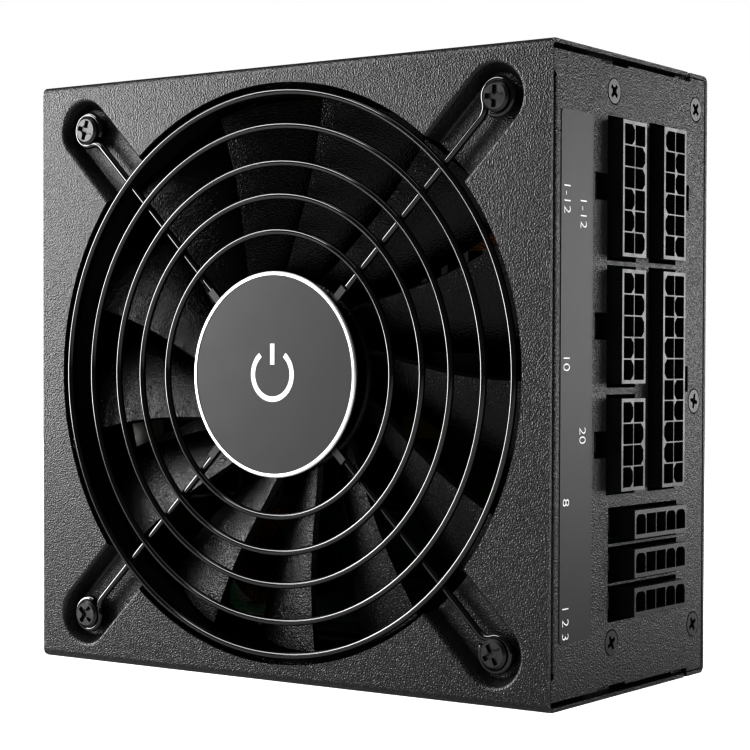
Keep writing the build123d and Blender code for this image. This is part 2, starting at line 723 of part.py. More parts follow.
def blade_section(radius):
    """Thin curved section of a blade on the plane square to the radius."""
    share = (radius - HUB_R) / (BLADE_TIP_R - HUB_R)
    chord = BLADE_ROOT_CHORD + (BLADE_TIP_CHORD - BLADE_ROOT_CHORD) * share
    depth = BLADE_BACK - BLADE_FRONT
    sweep_back = radius * radians(BLADE_ROOT_SWEEP * (1 - share) ** 3)
    lead = Vector(-sweep_back, BLADE_FRONT)
    trail = Vector(chord - sweep_back, BLADE_BACK)
    normal = Vector(depth, -chord).normalized()
    middle = (lead + trail) / 2 + normal * BLADE_BOW * depth
    thickness = normal * -BLADE_THICK
    upper = ThreePointArc(lead, middle, trail)
    lower = ThreePointArc(lead + thickness, middle + thickness, trail + thickness)
    outline = Wire([upper, Line(upper @ 1, lower @ 1), lower, Line(lower @ 0, upper @ 0)])
    return Pos(0, 0, radius) * Face(outline)


def blade():
    """Swept fan blade from inside the hub wall past the tip circle, along +Z."""
    return loft([blade_section(radius) for radius in BLADE_STATIONS])


def fan_rotor():
    """Hub cup with its ring of blades."""
    band = rod_y(BLADE_TIP_R, (FAN_FRONT - OVER, FAN_BACK))
    band -= rod_y(HUB_R - BLADE_ROOT, (FAN_FRONT - 2 * OVER, FAN_BACK + OVER))
    one = blade() & (Pos(0, 0, -FAN_Z) * band)
    cup = rod_y(HUB_R, (HUB_FRONT, HUB_BACK))
    cup = fillet(cup.edges().group_by(Axis.Y)[0], HUB_ROUND)
    cup -= rod_y(HUB_R - HUB_WALL, (HUB_FRONT + HUB_WALL, HUB_BACK + 1))
    rotor = cup
    for index in range(BLADE_COUNT):
        rotor += around_fan(one, BLADE_START_ANGLE + index * 360 / BLADE_COUNT)
    return rotor - rod_y(SHAFT_R, (HUB_FRONT + SHAFT_SOCKET, FAN_BACK))


def rotor_shaft():
    """Steel shaft pressed in the hub."""
    return rod_y(SHAFT_R, (HUB_FRONT + SHAFT_SOCKET, FAN_BACK - SHAFT_END_GAP))


def rotor_magnet():
    """Ring magnet inside the hub cup."""
    y = (HUB_FRONT + HUB_WALL, HUB_BACK - MAGNET_END_GAP)
    outer = HUB_R - HUB_WALL
    return rod_y(outer, y) - rod_y(outer - MAGNET_THICK, (y[0] - 1, y[1] + 1))


def fan_bearing():
    """Sleeve bearing in the frame's tube."""
    y = (BEARING_FRONT, BEARING_BACK)
    return rod_y(BEARING_R, y) - rod_y(SHAFT_R + SHAFT_CLEARANCE, (y[0] - 1, y[1] + 1))


def fan_stator():
    """Laminated stator with four wound poles round the bearing tube."""
    y = STATOR_Y
    stator = rod_y(STATOR_CORE_R, y) - rod_y(BEARING_TUBE_R, (y[0] - OVER, y[1] + OVER))
    for index in range(POLE_COUNT):
        pole = block((-POLE_HALF_WIDTH, POLE_HALF_WIDTH), y, POLE_Z)
        shoe = Pos(0, 0, FAN_Z) * block((-SHOE_HALF_WIDTH, SHOE_HALF_WIDTH), y, SHOE_Z)
        shoe = Pos(0, 0, -FAN_Z) * (rod_y(STATOR_R, y) & shoe)
        stator += around_fan(pole + shoe, 360 / POLE_COUNT * (index + 0.5))
    return stator


# ---------------------------------------------------------------- output sockets

def cell(y, z, chamfer_side, depth):
    """One terminal cavity. chamfer_side is 0, or the side of its two cut corners."""
    outline = Rectangle(CELL, CELL)
    if chamfer_side:
        corners = outline.vertices().group_by(Axis.X)[0 if chamfer_side < 0 else -1]
        outline = chamfer(corners, CELL_CHAMFER)
    sheet = Plane.YZ.offset(HEADER_FACE - depth) * Pos(y, z) * outline
    return extrude(sheet, depth + 1)


def header_cells(header):
    """(y, z, chamfer side) of each cavity of a two-row header."""
    _, rows, y, z, side, _, _ = header
    cells = []
    for row in range(rows):
        row_z = z + PITCH * ((rows - 1) / 2 - row)
        cut_first = ROW_PATTERN[row] == "A"
        cells.append((y - PITCH / 2, row_z, -side if cut_first else 0))
        cells.append((y + PITCH / 2, row_z, 0 if cut_first else -side))
    return cells


def drive_cells():
    """Centres of the cavities of a five-way single-row header."""
    return [DRIVE_Y + PITCH * (i - (DRIVE_CELLS - 1) / 2) for i in range(DRIVE_CELLS)]


def pin_hole(y, z):
    side = PIN / 2
    return block((BOARD_FACE - 1, HEADER_FACE), (y - side, y + side), (z - side, z + side))


def latch_ramp(y, side, z):
    """Ramp and catch that a plug's latch snaps over, drawn on the header's side."""
    profile = Polyline(
        (LATCH_START, y),
        (LATCH_START, y + side * LATCH_HEIGHT),
        (LATCH_START + LATCH_TOP, y + side * LATCH_HEIGHT),
        (LATCH_START + LATCH_RUN, y),
        close=True,
    )
    face = make_face(profile)
    return Pos(0, 0, z - LATCH_WIDTH / 2) * extrude(face, LATCH_WIDTH, dir=(0, 0, 1))


def two_row_header(header):
    """Two-row socket housing with square and cut-corner cavities and a latch ramp."""
    _, rows, y, z, side, latch_z, _ = header
    height = header_height(rows)
    x = (BOARD_FACE, HEADER_FACE)
    body = block(x, (y - HEADER_WIDTH / 2, y + HEADER_WIDTH / 2), (z - height / 2, z + height / 2))
    depth = HEADER_FACE - BOARD_FACE - HEADER_BACK_WALL
    cuts = [cell(cy, cz, cut, depth) for cy, cz, cut in header_cells(header)]
    cuts += [pin_hole(cy, cz) for cy, cz, _ in header_cells(header)]
    body += latch_ramp(y + side * HEADER_WIDTH / 2, side, latch_z)
    return body - cuts


def round_cell(y, z, depth):
    """Terminal cavity with a rounded top."""
    outline = Rectangle(CELL, CELL)
    outline = fillet(outline.vertices().group_by(Axis.Y)[-1], CELL_ROUND)
    sheet = Plane.YZ.offset(HEADER_FACE - depth) * Pos(y, z) * outline
    return extrude(sheet, depth + 1)


def drive_header(z):
    """Single-row five-way socket housing."""
    x = (BOARD_FACE, HEADER_FACE)
    half = DRIVE_WIDTH / 2
    body = block(x, (DRIVE_Y - half, DRIVE_Y + half), (z - DRIVE_HEIGHT / 2, z + DRIVE_HEIGHT / 2))
    depth = HEADER_FACE - BOARD_FACE - HEADER_BACK_WALL
    cuts = []
    for index, y in enumerate(drive_cells()):
        if index in DRIVE_ROUND_CELLS:
            cuts.append(round_cell(y, z, depth))
        else:
            cuts.append(cell(y, z, 0, depth))
        cuts.append(pin_hole(y, z))
    body += latch_ramp(DRIVE_Y - half, -1, z)
    return body - cuts


def pin_points():
    """(y, z) of every terminal pin."""
    points = [(y, z) for header in HEADERS for y, z, _ in header_cells(header)]
    points += [(y, z) for z in DRIVE_Z for y in drive_cells()]
    return points


def socket_pins():
    """Square pins from the connector board into the cavities."""
    tail = BOARD_FACE - BOARD_THICK - PIN_TAIL
    side = PIN / 2
    return [block((tail, PIN_TIP), (y - side, y + side), (z - side, z + side)) for y, z in pin_points()]


def connector_board():
    """Board behind the connector panel that carries the sockets."""
    x = (BOARD_FACE - BOARD_THICK, BOARD_FACE)
    board = block(x, CONNECTOR_BOARD_Y, CONNECTOR_BOARD_Z)
    drill = Sketch(children=[Pos(y, z) * Circle(PIN_DRILL_R) for y, z in pin_points()])
    return board - extrude(Plane.YZ.offset(x[0] - 1) * drill, BOARD_THICK + 2)


def board_bracket():
    """Angle strip screwed behind the connector panel that stiffens the board's edge."""
    front = PANEL_X - SHEET
    strip = block((front - SHEET, front), BRACKET_Y, BRACKET_Z)
    web = block((BOARD_FACE, front), (BRACKET_Y[0], BRACKET_Y[0] + BRACKET_WEB), BRACKET_Z)
    bracket = strip + web
    for y, z in BRACKET_SCREWS:
        bracket -= rod_x(COUNTERSUNK_SHANK_R + THREAD_CLEARANCE, (front - 2 * SHEET, front + 1), y, z)
    return bracket


def port_label():
    """Smooth strip beside the sockets."""
    strip = block((PANEL_X, PANEL_X + LABEL_THICK), LABEL_Y, LABEL_Z)
    return fillet(strip.edges().filter_by(Axis.X), LABEL_CORNER)


# ---------------------------------------------------------------- mains inlet and switch

def inlet_outline(size, corner):
    """Rectangle long in Z, cut at the two corners on its -Y side, on a YZ plane."""
    outline = Rectangle(size[1], size[0])
    return chamfer(outline.vertices().group_by(Axis.X)[0], corner)


def inlet_plane(x):
    return Plane.YZ.offset(x) * Pos(INLET_Y, INLET_Z)


def inlet_pin_points():
    """Centres of the live, neutral and earth blades."""
    return [
        (INLET_Y + INLET_PIN_OFFSET, INLET_Z - INLET_PIN_SPACING),
        (INLET_Y + INLET_PIN_OFFSET, INLET_Z + INLET_PIN_SPACING),
        (INLET_Y - INLET_PIN_OFFSET, INLET_Z),
    ]


def ac_inlet():
    """Mains inlet housing with its flange and socket cavity."""
    back = -PANEL_X + INLET_BODY_DEPTH
    front = -PANEL_X - INLET_FLANGE_THICK
    body = extrude(inlet_plane(-PANEL_X) * Rectangle(INLET_BODY[1], INLET_BODY[0]), INLET_BODY_DEPTH)
    outline = RectangleRounded(INLET_FLANGE[1], INLET_FLANGE[0], INLET_FLANGE_CORNER)
    flange = extrude(inlet_plane(front) * outline, INLET_FLANGE_THICK)
    cavity = extrude(inlet_plane(front - 1) * inlet_outline(INLET_CAVITY, INLET_CORNER), INLET_DEPTH + 1)
    inlet = body + flange - cavity
    for y, z in inlet_pin_points():
        inlet -= block(
            (-PANEL_X, back + 1),
            (y - INLET_PIN[1] / 2, y + INLET_PIN[1] / 2),
            (z - INLET_PIN[0] / 2, z + INLET_PIN[0] / 2),
        )
    return inlet


def inlet_blades():
    """Three flat contacts of the inlet with their solder tails."""
    floor = -PANEL_X - INLET_FLANGE_THICK + INLET_DEPTH
    tail = -PANEL_X + INLET_BODY_DEPTH + INLET_TAIL
    blades = []
    for y, z in inlet_pin_points():
        contact = block(
            (floor - INLET_PIN_LENGTH, tail),
            (y - INLET_PIN[1] / 2, y + INLET_PIN[1] / 2),
            (z - INLET_PIN[0] / 2, z + INLET_PIN[0] / 2),
        )
        blades.append(contact)
    return blades


def switch_housing():
    """Snap-in switch body with its bezel and rocker well."""
    front = -PANEL_X - SWITCH_BEZEL_THICK
    back = -PANEL_X + SWITCH_BODY_DEPTH
    y = (SWITCH_Y - SWITCH_BODY[0] / 2, SWITCH_Y + SWITCH_BODY[0] / 2)
    z = (SWITCH_Z - SWITCH_BODY[1] / 2, SWITCH_Z + SWITCH_BODY[1] / 2)
    body = block((-PANEL_X, back), y, z)
    bezel = block(
        (front, -PANEL_X),
        (SWITCH_Y - SWITCH_BEZEL[0] / 2, SWITCH_Y + SWITCH_BEZEL[0] / 2),
        (SWITCH_Z - SWITCH_BEZEL[1] / 2, SWITCH_Z + SWITCH_BEZEL[1] / 2),
    )
    bezel = chamfer(bezel.faces().sort_by(Axis.X)[0].edges(), SWITCH_BEZEL_CHAMFER)
    well = block(
        (front - OVER, SWITCH_WELL_BACK),
        (SWITCH_Y - ROCKER_SWING, SWITCH_Y + ROCKER_SWING),
        (SWITCH_Z - ROCKER_HALF_WIDTH - ROCKER_GAP, SWITCH_Z + ROCKER_HALF_WIDTH + ROCKER_GAP),
    )
    axle = Pos(SWITCH_PIVOT_X, SWITCH_Y, SWITCH_Z) * Cylinder(
        ROCKER_AXLE_R + AXLE_CLEARANCE, 2 * (ROCKER_HALF_WIDTH + ROCKER_GAP + ROCKER_SOCKET_END)
    )
    return body + bezel - well - axle


def switch_rocker():
    """Rocker with two dished halves and stub axles, tilted to one side at rest."""
    face = make_face(Polyline(*ROCKER_PROFILE, close=True))
    body = extrude(face, ROCKER_HALF_WIDTH, both=True)
    body = fillet(body.edges().filter_by(Axis.Z).group_by(Axis.X)[0], ROCKER_ROUND)
    axle = Cylinder(ROCKER_AXLE_R, 2 * (ROCKER_HALF_WIDTH + ROCKER_GAP + ROCKER_AXLE_END))
    tilted = Rot(0, 0, ROCKER_TILT) * (body + axle)
    return Pos(SWITCH_PIVOT_X, SWITCH_Y, SWITCH_Z) * tilted


def switch_terminals():
    """Two flat tabs at the back of the switch."""
    start = -PANEL_X + SWITCH_BODY_DEPTH
    half = SWITCH_TAB_THICK / 2
    z = (SWITCH_Z - SWITCH_TAB_WIDTH / 2, SWITCH_Z + SWITCH_TAB_WIDTH / 2)
    return [
        block((start, start + SWITCH_TAB), (y - half, y + half), z)
        for y in (SWITCH_Y - SWITCH_TAB_SPACING / 2, SWITCH_Y + SWITCH_TAB_SPACING / 2)
    ]


# ---------------------------------------------------------------- inside

def standoffs():
    """Threaded posts between the case back and the main board."""
    y = (MAIN_BOARD_BACK, BACK - SHEET)
    bore = (y[0] - OVER, y[1] - STANDOFF_WALL)
    return [
        rod_y(STANDOFF_R, y, x, z) - rod_y(BOARD_SCREW_R, bore, x, z)
        for x, z in STANDOFF_POINTS
    ]


def board_screws():
    """Screws that hold the main board on its standoffs."""
    front = MAIN_BOARD_FRONT
    screws = []
    for x, z in STANDOFF_POINTS:
        head = rod_y(BOARD_SCREW_HEAD_R, (front - BOARD_SCREW_HEAD, front), x, z)
        shank = (front - SHANK_OVERLAP, front + BOARD_SCREW_LENGTH)
        screws.append(head + rod_y(BOARD_SCREW_R - THREAD_CLEARANCE, shank, x, z))
    return screws


def insulating_sheet():
    """Plastic film between the main board and the case back."""
    film = block(FILM_X, FILM_Y, FILM_Z)
    for x, z in STANDOFF_POINTS:
        film -= rod_y(STANDOFF_R + FILM_HOLE_GAP, (FILM_Y[0] - OVER, FILM_Y[1] + OVER), x, z)
    return film


def main_board():
    """Main circuit board, parallel to the case back."""
    board = block(MAIN_BOARD_X, (MAIN_BOARD_FRONT, MAIN_BOARD_BACK), MAIN_BOARD_Z)
    through = (MAIN_BOARD_FRONT - OVER, MAIN_BOARD_BACK + OVER)
    for x, z in STANDOFF_POINTS:
        board -= rod_y(BOARD_SCREW_R + BOARD_HOLE_GAP, through, x, z)
    return board


def can(x, z, radius, height):
    """Electrolytic capacitor can standing on the main board."""
    body = rod_y(radius, (MAIN_BOARD_FRONT - height, MAIN_BOARD_FRONT), x, z)
    return fillet(body.edges().group_by(Axis.Y)[0], radius * CAN_ROUND)


def output_capacitors():
    """Row of filter capacitors next to the connector board."""
    size = (OUTPUT_CAPACITOR_R, OUTPUT_CAPACITOR_HEIGHT)
    return [can(OUTPUT_CAPACITOR_X, z, *size) for z in OUTPUT_CAPACITOR_Z]


def toroid_core(x, z, outer, inner, height):
    """Ring core standing clear of the board."""
    y = (MAIN_BOARD_FRONT - height - CHOKE_STAND, MAIN_BOARD_FRONT - CHOKE_STAND)
    return rod_y(outer, y, x, z) - rod_y(inner, (y[0] - 1, y[1] + 1), x, z)


def toroid_winding(x, z, outer, inner, height, wire):
    """Winding round a ring core, open over a sixth of the turn."""
    centre = (outer + inner) / 2
    section = Rectangle(outer - inner + 2 * wire, height + 2 * wire)
    section -= Rectangle(outer - inner, height)
    swept = revolve(Pos(centre, 0) * section, Axis.Y, WINDING_ANGLE)
    middle_y = MAIN_BOARD_FRONT - CHOKE_STAND - height / 2
    return Pos(x, middle_y, z) * swept


def heatsink(x, z, length, height):
    """Comb of fins on a plate that stands on the main board."""
    front = MAIN_BOARD_FRONT - height
    plate_top = z + HEATSINK_PLATE
    comb = block((x, x + length), (front, MAIN_BOARD_FRONT), (z, plate_top))
    step = (length - FIN_THICK) / (FIN_COUNT - 1)
    for index in range(FIN_COUNT):
        start = x + index * step
        fin_y = (front, front + height * FIN_SHARE)
        comb += block((start, start + FIN_THICK), fin_y, (plate_top, z + FIN_REACH))
    return comb


def transformer_core():
    """Two ferrite halves round the transformer's winding."""
    y = tuple(MAIN_BOARD_FRONT - depth for depth in TRANSFORMER_DEPTH)
    core = block(TRANSFORMER_X, y, TRANSFORMER_Z)
    through = (TRANSFORMER_Z[0] - OVER, TRANSFORMER_Z[1] + OVER)
    for window in TRANSFORMER_WINDOWS:
        core -= block(window, (y[0] + TRANSFORMER_YOKE, y[1] - TRANSFORMER_YOKE), through)
    return core


def transformer_winding():
    """Coil on the transformer's middle leg."""
    y = tuple(MAIN_BOARD_FRONT - depth for depth in COIL_DEPTH)
    coil = block(COIL_X, y, COIL_Z)
    coil = fillet(coil.edges().filter_by(Axis.Y), COIL_CORNER)
    return coil - block(COIL_BORE_X, (y[0] - OVER, y[1] + OVER), COIL_BORE_Z)


def control_board():
    """Upright board with the fan and supervisor circuits."""
    y = (MAIN_BOARD_FRONT - CONTROL_BOARD_HEIGHT, MAIN_BOARD_FRONT)
    return block(CONTROL_BOARD_X, y, CONTROL_BOARD_Z)


def x_capacitors():
    """Two film capacitors of the mains filter, standing side by side behind the vent."""
    capacitors = []
    for z in X_CAPACITOR_Z:
        y = (MAIN_BOARD_FRONT - X_CAPACITOR_HEIGHT, MAIN_BOARD_FRONT)
        body = block(X_CAPACITOR_X, y, (z, z + X_CAPACITOR_WIDTH))
        capacitors.append(fillet(body.edges().filter_by(Axis.Y), X_CAPACITOR_CORNER))
    return capacitors


def lead(points, radius, bends):
    """Insulated wire of round section along straight runs joined by arcs."""
    path = FilletPolyline(*points, radius=bends)
    section = Plane(origin=path @ 0, z_dir=path % 0) * Circle(radius)
    return sweep(section, path)


def fan_lead():
    """Flat fan cable from the motor base, along a strut, down to the control board."""
    y = FAN_BACK + 1.3
    return lead(
        (
            (0, y, FAN_LEAD_START_Z),
            (4.0, y, 30.0),
            (10.0, y + 3.0, 22.0),
            (19.0, MAIN_BOARD_FRONT - 14.0, 17.0),
        ),
        *FAN_LEAD,
    )


def mains_leads():
    """Two insulated wires, from the inlet and from the switch to the main board."""
    inlet_x = -PANEL_X + INLET_BODY_DEPTH + INLET_TAIL
    inlet_y = INLET_Y + INLET_PIN_OFFSET
    inlet_z = INLET_Z + INLET_PIN_SPACING
    from_inlet = (
        (inlet_x, inlet_y, inlet_z),
        (inlet_x + 5.0, inlet_y, inlet_z),
        (inlet_x + 5.0, inlet_y + 10.0, inlet_z + 5.0),
        (inlet_x + 5.0, MAIN_BOARD_FRONT, inlet_z + 5.0),
    )
    switch_x = -PANEL_X + SWITCH_BODY_DEPTH + SWITCH_TAB
    switch_y = SWITCH_Y + SWITCH_TAB_SPACING / 2
    from_switch = (
        (switch_x, switch_y, SWITCH_Z),
        (switch_x + 4.0, switch_y, SWITCH_Z),
        (switch_x + 4.0, switch_y + 8.0, SWITCH_Z - 6.0),
        (switch_x + 4.0, MAIN_BOARD_FRONT, SWITCH_Z - 6.0),
    )
    return [lead(points, *MAINS_LEAD) for points in (from_inlet, from_switch)]


# ---------------------------------------------------------------- files

parts = {
    "fan_cover": fan_cover(),
    "base_shell": base_shell(),
    "fan_grille": fan_grille(),
    "badge_bracket": badge_bracket(),
    "grille_badge": grille_badge(),
    "badge_ring": badge_ring(),
    "grille_screws": grille_screws(),
    "cover_screws": countersunk_screws(1, COVER_TAB_SCREWS),
    "mains_cover_screws": countersunk_screws(-1, MAINS_TAB_SCREWS),
    "bracket_screws": countersunk_screws(1, BRACKET_SCREWS),
    "fan_frame": fan_frame(),
    "fan_rotor": fan_rotor(),
    "rotor_shaft": rotor_shaft(),
    "rotor_magnet": rotor_magnet(),
    "fan_bearing": fan_bearing(),
    "fan_stator": fan_stator(),
    "socket_pins": socket_pins(),
    "connector_board": connector_board(),
    "board_bracket": board_bracket(),
    "port_label": port_label(),
    "ac_inlet": ac_inlet(),
    "inlet_blades": inlet_blades(),
    "switch_housing": switch_housing(),
    "switch_rocker": switch_rocker(),
    "switch_terminals": switch_terminals(),
    "standoffs": standoffs(),
    "board_screws": board_screws(),
    "insulating_sheet": insulating_sheet(),
    "main_board": main_board(),
    "bulk_capacitor": can(*BULK_CAPACITOR),
    "output_capacitors": output_capacitors(),
    "emi_choke_core": toroid_core(*EMI_CHOKE),
    "emi_choke_winding": toroid_winding(*EMI_CHOKE, EMI_WIRE),
    "pfc_choke_core": toroid_core(*PFC_CHOKE),
    "pfc_choke_winding": toroid_winding(*PFC_CHOKE, PFC_WIRE),
    "output_choke_core": toroid_core(*OUTPUT_CHOKE),
    "output_choke_winding": toroid_winding(*OUTPUT_CHOKE, OUTPUT_WIRE),
    "primary_heatsink": heatsink(*PRIMARY_HEATSINK),
    "secondary_heatsink": heatsink(*SECONDARY_HEATSINK),
    "transformer_core": transformer_core(),
    "transformer_winding": transformer_winding(),
    "control_board": control_board(),
    "x_capacitors": x_capacitors(),
    "fan_lead": fan_lead(),
    "mains_leads": mains_leads(),
}
for header in HEADERS:
    parts[header[0]] = two_row_header(header)
for index, z in enumerate(DRIVE_Z):
    parts[f"drive_socket_{index + 1}"] = drive_header(z)

os.makedirs("parts", exist_ok=True)
for name, shape in parts.items():
    solid = Compound(children=shape) if isinstance(shape, list) else shape
    export_step(solid, f"parts/{name}.step")
    print(name, round(solid.volume, 1), "mm3")
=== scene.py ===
import math

import bmesh
import bpy
from mathutils import Matrix, Vector


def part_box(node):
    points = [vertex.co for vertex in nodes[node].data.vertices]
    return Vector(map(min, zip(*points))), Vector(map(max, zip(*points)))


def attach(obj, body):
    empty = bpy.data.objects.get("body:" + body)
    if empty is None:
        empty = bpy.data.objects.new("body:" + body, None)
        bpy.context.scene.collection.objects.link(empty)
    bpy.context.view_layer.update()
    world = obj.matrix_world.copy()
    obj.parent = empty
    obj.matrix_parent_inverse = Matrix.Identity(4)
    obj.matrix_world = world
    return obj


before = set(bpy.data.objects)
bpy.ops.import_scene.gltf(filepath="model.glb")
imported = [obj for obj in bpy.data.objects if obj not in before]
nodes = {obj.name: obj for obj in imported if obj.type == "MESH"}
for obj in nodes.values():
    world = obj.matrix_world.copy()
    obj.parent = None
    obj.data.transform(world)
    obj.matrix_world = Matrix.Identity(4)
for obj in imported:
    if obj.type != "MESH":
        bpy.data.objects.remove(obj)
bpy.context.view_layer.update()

MM = 0.001


# ---------------------------------------------------------------- camera

CAMERA_PLACE = Vector((0.2574, -0.3522, 0.0650))
CAMERA_AZIMUTH = math.radians(34.26)
CAMERA_ELEVATION = math.radians(1.39)
CAMERA_ROLL = math.radians(0.205)
SENSOR = 36.0
LENS = 97.14
CAMERA_SHIFT = (-0.0784, 0.0491)
NEAREST_SEEN = 0.01


def make_camera():
    """Camera at the height of the case's middle, turned between the fan side and the sockets."""
    a, e, r = CAMERA_AZIMUTH, CAMERA_ELEVATION, CAMERA_ROLL
    back = Vector((math.sin(a) * math.cos(e), -math.cos(a) * math.cos(e), math.sin(e)))
    right = (-back).cross(Vector((0, 0, 1))).normalized()
    up = right.cross(-back)
    turned_right = math.cos(r) * right + math.sin(r) * up
    turned_up = -math.sin(r) * right + math.cos(r) * up
    data = bpy.data.cameras.new("camera")
    data.sensor_width = SENSOR
    data.lens = LENS
    data.shift_x, data.shift_y = CAMERA_SHIFT
    data.clip_start = NEAREST_SEEN
    camera = bpy.data.objects.new("camera", data)
    bpy.context.scene.collection.objects.link(camera)
    turn = Matrix((turned_right, turned_up, back)).transposed()
    camera.matrix_world = Matrix.Translation(CAMERA_PLACE) @ turn.to_4x4()
    bpy.context.scene.camera = camera


# ---------------------------------------------------------------- light and floor

def aim(thing, place, target):
    thing.location = Vector(place)
    thing.rotation_mode = "QUATERNION"
    thing.rotation_quaternion = (Vector(target) - Vector(place)).to_track_quat("-Z", "Y")


def softbox(name, place, target, size, radiance):
    """Rectangular soft light of one surface brightness."""
    data = bpy.data.lights.new(name, "AREA")
    data.shape = "RECTANGLE"
    data.size, data.size_y = size
    data.energy = radiance * math.pi * size[0] * size[1]
    light = bpy.data.objects.new(name, data)
    bpy.context.scene.collection.objects.link(light)
    aim(light, place, target)


def shine(tree, strength, shown, lighting):
    """Strength that differs between what is seen directly and what lights the part."""
    path = tree.nodes.new("ShaderNodeLightPath")
    choice = tree.nodes.new("ShaderNodeMapRange")
    choice.inputs["To Min"].default_value = lighting
    choice.inputs["To Max"].default_value = shown
    tree.links.new(path.outputs["Is Camera Ray"], choice.inputs["Value"])
    tree.links.new(choice.outputs["Result"], strength)


def make_world(shown, lighting):
    """White studio background that lights the part less than it shows."""
    world = bpy.data.worlds.new("studio")
    bpy.context.scene.world = world
    world.use_nodes = True
    background = world.node_tree.nodes["Background"]
    background.inputs["Color"].default_value = (1, 1, 1, 1)
    shine(world.node_tree, background.inputs["Strength"], shown, lighting)


FLOOR_RADIUS = 1.3
FLOOR_SIDES = 128
FLOOR_ALBEDO = 0.9


def make_stage(shown, lighting):
    """Round white table top under the part."""
    mesh = bpy.data.meshes.new("floor")
    shape = bmesh.new()
    bmesh.ops.create_circle(shape, cap_ends=True, radius=FLOOR_RADIUS, segments=FLOOR_SIDES)
    shape.to_mesh(mesh)
    shape.free()
    floor = bpy.data.objects.new("floor", mesh)
    bpy.context.scene.collection.objects.link(floor)
    material = bpy.data.materials.new("floor_paper")
    material.use_nodes = True
    shader = material.node_tree.nodes["Principled BSDF"]
    shader.inputs["Base Color"].default_value = (FLOOR_ALBEDO, FLOOR_ALBEDO, FLOOR_ALBEDO, 1)
    shader.inputs["Roughness"].default_value = 1.0
    shader.inputs["Specular IOR Level"].default_value = 0.0
    shader.inputs["Emission Color"].default_value = (1, 1, 1, 1)
    shine(material.node_tree, shader.inputs["Emission Strength"], shown, lighting)
    mesh.materials.append(material)


# ---------------------------------------------------------------- materials

# the part of a noise's range that most of it falls in
NOISE_START = 0.3
NOISE_END = 0.7


class Finish:
    """One material's node tree, built in short steps."""

    def __init__(self, name, colour, roughness, metallic=0.0):
        self.material = bpy.data.materials.new(name)
        self.material.use_nodes = True
        self.tree = self.material.node_tree
        self.shader = self.tree.nodes["Principled BSDF"]
        self.set("Base Color", (*colour, 1))
        self.set("Roughness", roughness)
        self.set("Metallic", metallic)
        self.place = self.add("ShaderNodeTexCoord").outputs["Object"]

    def add(self, kind):
        return self.tree.nodes.new(kind)

    def link(self, source, target):
        self.tree.links.new(source, target)

    def set(self, name, value):
        self.shader.inputs[name].default_value = value

    def stretched(self, stretch):
        mapping = self.add("ShaderNodeMapping")
        mapping.inputs["Scale"].default_value = stretch
        self.link(self.place, mapping.inputs["Vector"])
        return mapping.outputs["Vector"]

    def noise(self, size, detail=2.0, stretch=(1, 1, 1)):
        """Soft noise with features of about this size in metres."""
        node = self.add("ShaderNodeTexNoise")
        node.inputs["Scale"].default_value = 1 / size
        node.inputs["Detail"].default_value = detail
        self.link(self.stretched(stretch), node.inputs["Vector"])
        return node.outputs["Fac"]

    def spread(self, source, low, high, start=NOISE_START, end=NOISE_END):
        """Maps start..end of the source to low..high."""
        node = self.add("ShaderNodeMapRange")
        node.inputs["From Min"].default_value = start
        node.inputs["From Max"].default_value = end
        node.inputs["To Min"].default_value = low
        node.inputs["To Max"].default_value = high
        self.link(source, node.inputs["Value"])
        return node.outputs["Result"]

    def tint(self, source, dark, light, start=NOISE_START, end=NOISE_END):
        """Base colour that runs between two colours."""
        ramp = self.add("ShaderNodeValToRGB")
        ramp.color_ramp.elements[0].position = start
        ramp.color_ramp.elements[1].position = end
        ramp.color_ramp.elements[0].color = (*dark, 1)
        ramp.color_ramp.elements[1].color = (*light, 1)
        self.link(source, ramp.inputs["Fac"])
        self.link(ramp.outputs["Color"], self.shader.inputs["Base Color"])

    def bump(self, source, depth):
        """Relief of about this depth in metres."""
        node = self.add("ShaderNodeBump")
        node.inputs["Distance"].default_value = depth
        self.link(source, node.inputs["Height"])
        self.link(node.outputs["Normal"], self.shader.inputs["Normal"])

    def rough(self, source, low, high):
        self.link(self.spread(source, low, high), self.shader.inputs["Roughness"])


def grey(value):
    return (value, value, value)


def shade(colour, factor):
    return tuple(factor * channel for channel in colour)


def powder_coat():
    """Black powder coat with a fine, even, sparkling grit."""
    m = Finish("powder_coat", grey(0.010), 0.32)
    grit = m.noise(size=0.0003, detail=0.0)
    m.bump(grit, depth=0.00012)
    m.tint(grit, grey(0.003), grey(0.018), 0.4, 0.6)
    m.rough(grit, 0.36, 0.3)
    return m.material


def lacquer():
    """Thick gloss black dip on the grille's wire."""
    m = Finish("wire_lacquer", grey(0.002), 0.09)
    m.set("Specular IOR Level", 0.8)
    m.bump(m.noise(size=0.0012), depth=0.000005)
    m.rough(m.noise(size=0.004), 0.07, 0.11)
    return m.material


def blade_plastic():
    """Near-black plastic of the fan, spark eroded to a fine grain."""
    m = Finish("fan_plastic", grey(0.003), 0.2)
    m.set("Specular IOR Level", 0.3)
    grain = m.noise(size=0.0003, detail=0.0)
    m.bump(grain, depth=0.00011)
    m.tint(grain, grey(0.001), grey(0.006), 0.4, 0.6)
    m.rough(grain, 0.24, 0.17)
    return m.material


def moulded(name, colour, roughness, texture=0.00002, size=0.0006):
    """Moulded plastic: fine spark texture and slightly uneven gloss."""
    m = Finish(name, colour, roughness)
    m.bump(m.noise(size), texture)
    m.tint(m.noise(size=0.004), shade(colour, 0.8), shade(colour, 1.2))
    m.rough(m.noise(size=0.003), 0.85 * roughness, 1.15 * roughness)
    return m.material


